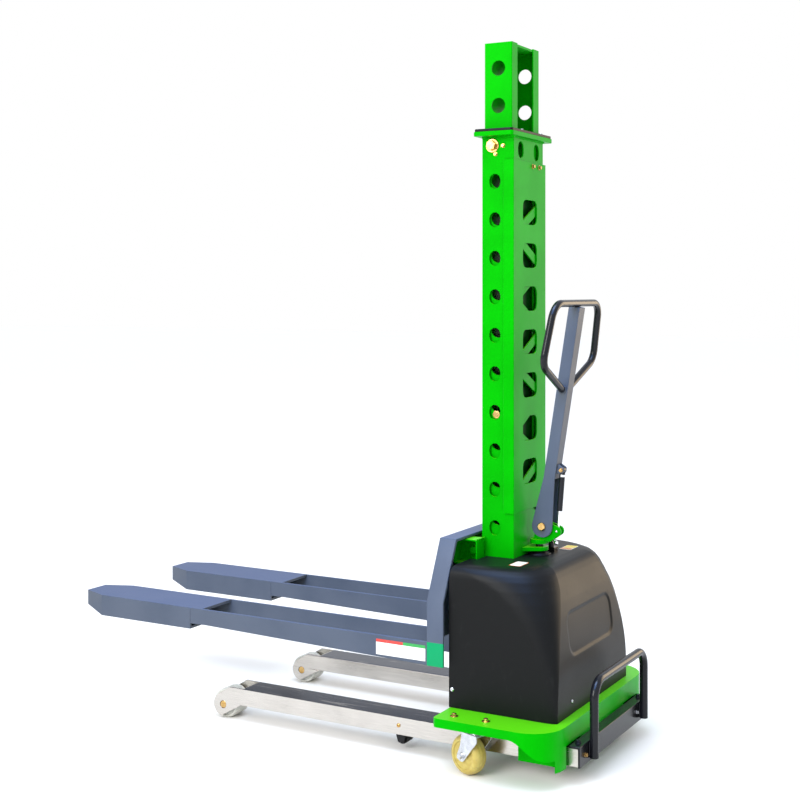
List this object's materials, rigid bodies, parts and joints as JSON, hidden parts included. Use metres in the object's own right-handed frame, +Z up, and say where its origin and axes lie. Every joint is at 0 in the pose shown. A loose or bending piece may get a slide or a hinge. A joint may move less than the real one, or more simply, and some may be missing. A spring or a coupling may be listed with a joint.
{
  "type": "self-loading stacker forklift",
  "caption": "Walk-behind stacker with a telescopic mast, slotted forks, support legs that slide through the chassis, a moulded hood and a spring-raised steering tiller.",
  "frame": {"origin": "on the floor, under the middle of the machine's bounding box", "axes": "+X towards the fork tips, +Y to the machine's left, +Z up"},
  "size_m": [1.5952, 0.694, 1.848],
  "materials": {
    "green_paint": "gloss enamel",
    "dark_grey_paint": "satin powder coat",
    "black_plastic": "satin moulded",
    "black_metal": "gloss black",
    "stainless_steel": "brushed",
    "chrome": "polished",
    "yellow_zinc": "yellow zinc plated",
    "zinc": "zinc plated",
    "white_nylon": "cast nylon",
    "cream_nylon": "cast nylon",
    "battery_case": "moulded"
  },
  "bodies": {
    "chassis": {"chassis_frame": "green_paint", "hood": "black_plastic", "battery_pack": "battery_case", "power_unit": "battery_case", "mast_column": "green_paint", "mast_rear_cover": "green_paint", "mast_collar": "green_paint", "collar_wear_pad": "black_plastic", "lift_cylinder": "black_metal", "steering_bearing": "green_paint", "caster_plate_left": "zinc", "caster_plate_right": "zinc"},
    "lift": {"inner_mast": "green_paint", "lift_rod": "chrome", "carriage_mount": "green_paint", "carriage_bracket_left": "green_paint", "carriage_bracket_right": "green_paint", "fork_frame": "dark_grey_paint", "fork_left": "dark_grey_paint", "fork_right": "dark_grey_paint"},
    "legs": {"leg_left": "stainless_steel", "leg_right": "stainless_steel", "load_axle_left": "yellow_zinc", "load_axle_right": "yellow_zinc", "roller_bracket_left": "black_metal", "roller_bracket_right": "black_metal", "rear_cross_bar": "black_metal", "pull_bar": "black_metal"},
    "load_wheel_left": {"load_wheel_left": "white_nylon"},
    "load_wheel_right": {"load_wheel_right": "white_nylon"},
    "leg_roller_left": {"leg_roller_left": "black_plastic"},
    "leg_roller_right": {"leg_roller_right": "black_plastic"},
    "caster_left": {"caster_fork_left": "zinc"},
    "caster_right": {"caster_fork_right": "zinc"},
    "caster_wheel_left": {"caster_wheel_left": "cream_nylon"},
    "caster_wheel_right": {"caster_wheel_right": "cream_nylon"},
    "steering": {"steering_shaft": "black_metal", "tiller_yoke": "green_paint", "tiller_pivot_bolt": "yellow_zinc", "steer_wheel_fork": "black_metal"},
    "steer_wheels": {"steer_wheels": "white_nylon"},
    "tiller": {"tiller_arm": "dark_grey_paint", "tiller_loop": "black_metal"},
    "gas_spring_barrel": {"gas_spring_barrel": "black_metal"},
    "gas_spring_rod": {"gas_spring_rod": "chrome"}
  },
  "joints": [
    {"name": "mast_lift", "type": "slide", "parent": "chassis", "child": "lift", "axis": [0, 0, 1], "range_m": [-0.205, 0.994]},
    {"name": "leg_slide", "type": "slide", "parent": "chassis", "child": "legs", "axis": [-1, 0, 0], "range_m": [0, 0.6]},
    {"name": "load_wheel_left_spin", "type": "hinge", "parent": "legs", "child": "load_wheel_left", "pos_m": [0.29465, 0.1975, 0.04], "axis": [0, 1, 0], "continuous": true},
    {"name": "leg_roller_left_spin", "type": "hinge", "parent": "legs", "child": "leg_roller_left", "pos_m": [-0.26735, 0.1975, 0.029], "axis": [0, 1, 0], "continuous": true},
    {"name": "caster_left_swivel", "type": "hinge", "parent": "chassis", "child": "caster_left", "pos_m": [-0.52535, 0.3, 0.1], "axis": [0, 0, 1], "range_deg": [-4, 224]},
    {"name": "caster_wheel_left_spin", "type": "hinge", "parent": "caster_left", "child": "caster_wheel_left", "pos_m": [-0.49904, 0.29042, 0.05], "axis": [0.342, 0.9397, 0], "continuous": true},
    {"name": "load_wheel_right_spin", "type": "hinge", "parent": "legs", "child": "load_wheel_right", "pos_m": [0.29465, -0.1975, 0.04], "axis": [0, 1, 0], "continuous": true},
    {"name": "leg_roller_right_spin", "type": "hinge", "parent": "legs", "child": "leg_roller_right", "pos_m": [-0.26735, -0.1975, 0.029], "axis": [0, 1, 0], "continuous": true},
    {"name": "caster_right_swivel", "type": "hinge", "parent": "chassis", "child": "caster_right", "pos_m": [-0.52535, -0.3, 0.1], "axis": [0, 0, -1], "range_deg": [-4, 224]},
    {"name": "caster_wheel_right_spin", "type": "hinge", "parent": "caster_right", "child": "caster_wheel_right", "pos_m": [-0.49904, -0.29042, 0.05], "axis": [-0.342, 0.9397, 0], "continuous": true},
    {"name": "tiller_steer", "type": "hinge", "parent": "chassis", "child": "steering", "pos_m": [-0.56235, 0, 0.3], "axis": [0, 0, 1], "range_deg": [-50, 50]},
    {"name": "steer_wheels_spin", "type": "hinge", "parent": "steering", "child": "steer_wheels", "pos_m": [-0.56235, 0, 0.0575], "axis": [0, 1, 0], "continuous": true},
    {"name": "tiller_tilt", "type": "hinge", "parent": "steering", "child": "tiller", "pos_m": [-0.57735, 0, 0.579], "axis": [0, -1, 0], "range_deg": [0, 70], "stiffness_Nm_per_rad": 14, "springref_deg": -34.38},
    {"name": "gas_spring_pivot", "type": "hinge", "parent": "tiller", "child": "gas_spring_barrel", "pos_m": [-0.62842, 0, 0.72886], "axis": [0, -1, 0], "range_deg": [-2, 15]},
    {"name": "gas_spring_stroke", "type": "slide", "parent": "gas_spring_barrel", "child": "gas_spring_rod", "axis": [-0.081, 0, 0.9967], "range_m": [-0.002, 0.045]}
  ],
  "couplings": [
    {"joint": "gas_spring_pivot", "follows": "tiller_tilt", "ratio": 0.0739},
    {"joint": "gas_spring_stroke", "follows": "tiller_tilt", "m_per_rad": 0.03607}
  ]
}
